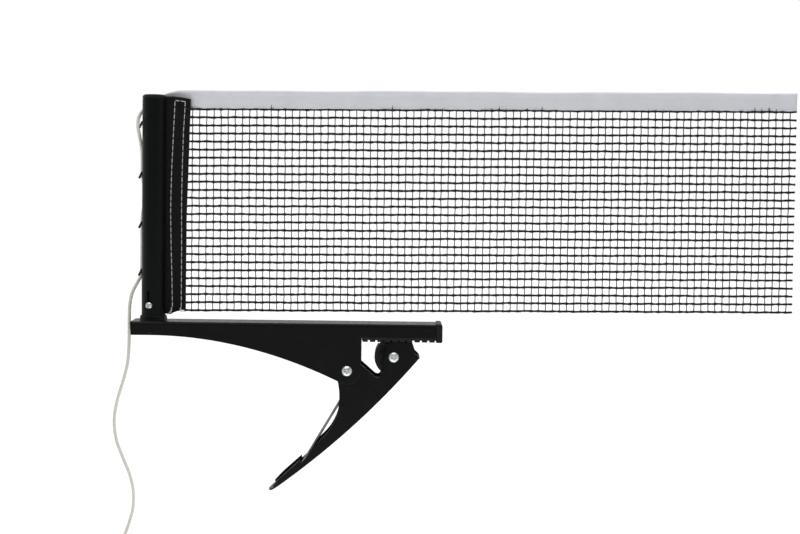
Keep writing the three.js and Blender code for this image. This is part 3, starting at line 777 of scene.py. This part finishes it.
def make_binding_stitching():
    """Two rows of thin white lockstitch, joined across the top, with loose ends below."""
    parts = MeshParts()
    for side in (-1, 1):
        for line in STITCH_LINES:
            heights = np.linspace(20.5, 160.2, 160)
            path = [binding_surface_point(float(stitch_x(line, z)), float(z), side) for z in heights]
            add_stitch_row(parts, path, 4.3, 0.27, side, lift=0.22)
        left, right = float(stitch_x("left", 160.2)), float(stitch_x("right", 160.2))
        top = [binding_surface_point(x, 160.4 - 0.1 * (x - left), side)
               for x in np.linspace(left, right, 12)]
        add_stitch_row(parts, top, 3.4, 0.27, side, lift=0.22)
    loose_ends = [
        [(-150.8, -0.9, 21.0), (-151.2, -1.3, 18.6), (-152.3, -1.5, 17.0), (-153.4, -1.3, 15.6)],
        [(-150.8, -0.9, 21.0), (-150.6, -1.5, 18.8), (-151.0, -1.8, 17.2), (-150.2, -1.6, 15.9)],
        [(-144.6, -0.9, 21.0), (-144.2, -1.4, 19.4), (-142.9, -1.7, 18.9), (-141.8, -1.5, 18.0)],
        [(-144.6, -0.9, 21.0), (-144.8, -1.4, 19.2), (-143.6, -1.8, 17.9), (-142.6, -1.6, 18.4)],
    ]
    for points in loose_ends:
        parts.add_rings(rounded_tube(smooth_path(points, 0.4), 8, 0.24))
    stitching = parts.build("binding_stitching", MATERIALS["stitch"])
    place(stitching, "post", "stitch")
    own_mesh(stitching)
    return stitching


# ------------------------------------------------------------------ net
def rise(x):
    return NET_RISE * (x + 142.0)


def net_lean(x, z):
    """The slack net's gentle billow off its middle plane."""
    freedom = np.clip((x + 141.0) / 60.0, 0, 1) * np.clip((154.0 - z) / 40.0, 0, 1)
    return freedom * (0.9 * wobble(x, 21, (260.0, 140.0)) + 0.3 * wobble(x + 0.4 * z, 22))


def knot_swell(at, pitch, phase):
    offset = (at - phase + pitch / 2) % pitch - pitch / 2
    return np.exp(-(offset / 0.75) ** 2)


def make_net():
    """Knotted threads: thick rows and fine columns, with a knot at every crossing."""
    left = -142.2
    parts = MeshParts()
    x = np.linspace(left, NET_RIGHT, int((NET_RIGHT - left) / 1.2))
    for row in range(ROW_COUNT):
        height = NET_BOTTOM + 0.65 + ROW_PITCH * row
        z = height + rise(x) + 0.22 * wobble(x, 100 + row, (63.0, 23.0, 9.6))
        y = net_lean(x, z) + 0.15 * wobble(x, 200 + row, (9.6, 31.0))
        uneven = 1 + 0.16 * wobble(x, 300 + row, (7.3, 3.9))
        swell = knot_swell(x, COLUMN_PITCH, left)
        radius = (0.70 + 0.20 * swell) * uneven
        parts.add_rings(tube_rings(np.stack([x, y, z], axis=1), 6, radius[:, None]))
    columns = int((NET_RIGHT - left) / COLUMN_PITCH) + 1
    for column in range(1, columns):
        base = left + COLUMN_PITCH * column
        into_tape = 3.0 if base > -128.0 else 0.2
        top = NET_BOTTOM + 0.65 + ROW_PITCH * (ROW_COUNT - 1) + into_tape
        z = np.linspace(NET_BOTTOM + 0.65, top, 110) + rise(base)
        along = base + 0.20 * wobble(z, 400 + column, (41.0, 17.0, 10.9))
        y = net_lean(along, z) + 0.18 * wobble(z, 500 + column, (10.9, 27.0))
        radius = 0.33 + 0.10 * knot_swell(z, ROW_PITCH, NET_BOTTOM + 0.65 + rise(base))
        parts.add_rings(tube_rings(np.stack([along, y, z], axis=1), 5, radius[:, None]))
    net = parts.build("net_threads", MATERIALS["net"])
    place(net, "post", "net", "net_mesh")
    width, height = (NET_RIGHT - left) * MM, ROW_PITCH * (ROW_COUNT - 1) * MM
    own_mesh(net)


# ------------------------------------------------------------------ net tape
TAPE_PLAN = [
    (NET_RIGHT, 0.0), (180.0, 0.0), (60.0, 0.0), (-60.0, 0.0), (-118.0, 0.0), (-129.0, 0.05),
    (-133.3, 0.6), (-137.3, 2.1), (-142.2, 3.65), (-149.0, 5.9), (-156.3, 8.4), (-160.3, 10.1),
]
# Half of the folded strip's middle line: offset from the net's plane and part of the height.
TAPE_FOLD = [
    (0.34, 0.00), (0.36, 0.12), (0.40, 0.30), (0.44, 0.50), (0.50, 0.66), (0.74, 0.76), (1.08, 0.83),
    (1.24, 0.89), (1.12, 0.945), (0.66, 0.985), (0.0, 1.0),
]
TAPE_THICKNESS = 0.42


def tape_top(x):
    return np.interp(x, [-161.0, -155.0, -148.0], [163.3, 165.7, TAPE_BOTTOM + TAPE_HEIGHT])


def tape_section():
    """The strip's middle line from its front hem over the ridge to its back hem."""
    front = [(-offset, up, -1.0) for offset, up in TAPE_FOLD]
    back = [(offset, up, 1.0) for offset, up in reversed(TAPE_FOLD[:-1])]
    line = np.array([(offset, up * TAPE_HEIGHT, side) for offset, up, side in front + back])
    fine = smooth_path(line, 0.55)
    return fine[:, :2]


def tape_outline():
    """The closed outline of the strip's section, its thickness laid off to both sides."""
    line = tape_section()
    tangent = np.gradient(line, axis=0)
    tangent /= np.linalg.norm(tangent, axis=1)[:, None]
    normal = np.stack([-tangent[:, 1], tangent[:, 0]], axis=1) * TAPE_THICKNESS / 2
    return np.vstack([line + normal, (line - normal)[::-1]])


def make_net_tape():
    """White tape folded over the net's upper edge, with the cord as a ridge in its fold."""
    outline = tape_outline()
    plan = smooth_path([(x, y, 0.0) for x, y in TAPE_PLAN], 1.6)
    tangent = np.gradient(plan, axis=0)
    tangent /= np.linalg.norm(tangent, axis=1)[:, None]
    across = np.stack([tangent[:, 1], -tangent[:, 0]], axis=1)
    rings = np.empty((len(plan), len(outline), 3))
    for i, point in enumerate(plan):
        x = point[0]
        bottom = TAPE_BOTTOM + rise(x) + 0.22 * float(wobble(x, 31, (63.0, 29.0, 11.0)))
        top = float(tape_top(x)) + rise(x) * (x > -148.0) + 0.3 * float(wobble(x, 32, (170.0, 71.0)))
        part = outline[:, 1] / TAPE_HEIGHT
        free = np.clip((x + 150.0) / 20.0, 0, 1)
        pucker = 0.16 * float(wobble(x, 33, (9.0, 6.1))) * np.exp(-((part - 0.1) / 0.2) ** 2)
        bend = 0.5 * float(wobble(x, 34, (190.0, 83.0, 37.0))) * (1 - part)
        lateral = outline[:, 0] * (1 + 0.08 * float(wobble(x, 35, (37.0, 17.0)))) + free * (pucker + bend)
        rings[i, :, 0] = x + across[i, 0] * lateral
        rings[i, :, 1] = point[1] + across[i, 1] * lateral
        rings[i, :, 2] = bottom + (top - bottom) * part
    parts = MeshParts()
    parts.add_rings(rings)
    tape = parts.build("tape_strip", MATERIALS["tape"])
    place(tape, "post", "tape", "net_tape")
    make_tape_stitching(rings, outline)


def make_tape_stitching(rings, outline):
    """A row of small stitches just above the tape's hem, front and back."""
    parts = MeshParts()
    half = len(outline) // 2
    heights = outline[:half, 1]
    hem = int(np.argmin(np.abs(heights[: half // 2] - 1.4)))
    front = rings[:, hem]
    back = rings[:, half - 1 - hem]
    mirrored = rings[:, 2 * half - 1 - hem]
    other = rings[:, half + hem]
    outer_front = np.where((front[:, 1] < mirrored[:, 1])[:, None], front, mirrored)
    outer_back = np.where((back[:, 1] > other[:, 1])[:, None], back, other)
    add_stitch_row(parts, outer_front, 2.3, 0.17, -1, lift=0.12)
    add_stitch_row(parts, outer_back, 2.3, 0.17, 1, lift=0.12)
    stitching = parts.build("tape_stitching", MATERIALS["tape_stitch"])
    return place(stitching, "post", "tape_stitch")


# ------------------------------------------------------------------ assembly
add_camera()
make_tension_cord()
add_studio()
make_rigid_pieces()
make_torsion_spring()
make_net_binding()
make_net()
make_net_tape()
